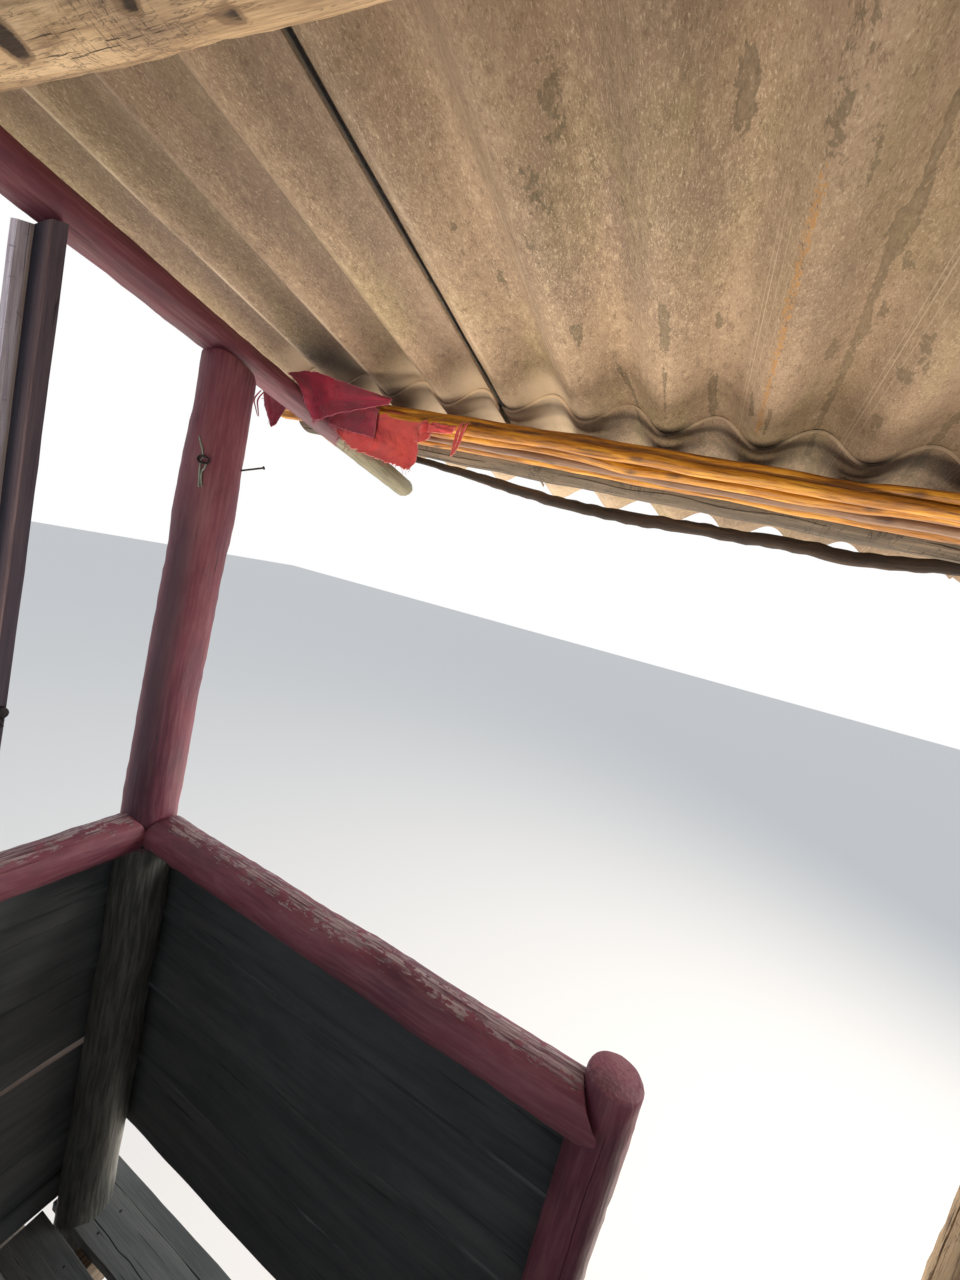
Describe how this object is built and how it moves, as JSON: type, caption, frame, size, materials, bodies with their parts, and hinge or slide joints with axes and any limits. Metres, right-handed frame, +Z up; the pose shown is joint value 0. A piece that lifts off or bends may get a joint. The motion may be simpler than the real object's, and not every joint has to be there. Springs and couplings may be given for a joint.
{
  "type": "lifeguard tower",
  "caption": "raised wooden lookout on log posts, with boarded sides, log rails, a pole ladder, red signal flags and a corrugated fibre-cement roof on log rafters",
  "frame": {"origin": "on the ground, under the middle of the roof", "axes": "+X to the right as seen by someone in the tower who looks out to the front, +Y to the front, towards the water, +Z up"},
  "size_m": [2.8952, 3.3244, 5.6182],
  "materials": {
    "red_paint": "worn satin paint",
    "tan_wood": "dry, cracked",
    "grey_wood": "weathered, rough",
    "board_wood": "weathered, dark",
    "varnished_wood": "varnished, satin",
    "fibre_cement": "matte, stained",
    "red_cloth": "matte, frayed"
  },
  "bodies": {
    "root": {"front_left_post": "red_paint", "front_right_post": "red_paint", "rear_left_post": "red_paint", "rear_right_post": "red_paint", "newel_post": "red_paint", "left_rafter": "red_paint", "right_rafter": "red_paint", "left_rail": "red_paint", "right_rail": "red_paint", "rear_rail": "red_paint", "front_rail": "red_paint", "second_purlin": "tan_wood", "third_purlin": "tan_wood", "ladder_left_pole": "tan_wood", "ladder_right_pole": "tan_wood", "ladder_rungs": "tan_wood", "left_prop": "grey_wood", "right_prop": "grey_wood", "front_purlin": "grey_wood", "rear_purlin": "grey_wood", "eave_pole": "grey_wood", "front_bearer": "grey_wood", "rear_bearer": "grey_wood", "floor_joists": "grey_wood", "left_girt": "grey_wood", "right_girt": "grey_wood", "rear_girt": "grey_wood", "left_brace": "grey_wood", "right_brace": "grey_wood", "rear_brace": "grey_wood", "left_wall_boards": "board_wood", "right_wall_boards": "board_wood", "rear_wall_boards": "board_wood", "front_wall_boards": "board_wood", "floor_boards": "board_wood", "floor_edge": "board_wood", "flag_poles": "varnished_wood", "upper_sheet_left": "fibre_cement", "upper_sheet_middle": "fibre_cement", "upper_sheet_right": "fibre_cement", "lower_sheet_left": "fibre_cement", "lower_sheet_middle": "fibre_cement", "lower_sheet_right": "fibre_cement", "large_flag": "red_cloth", "small_flag": "red_cloth"}
  },
  "joints": []
}
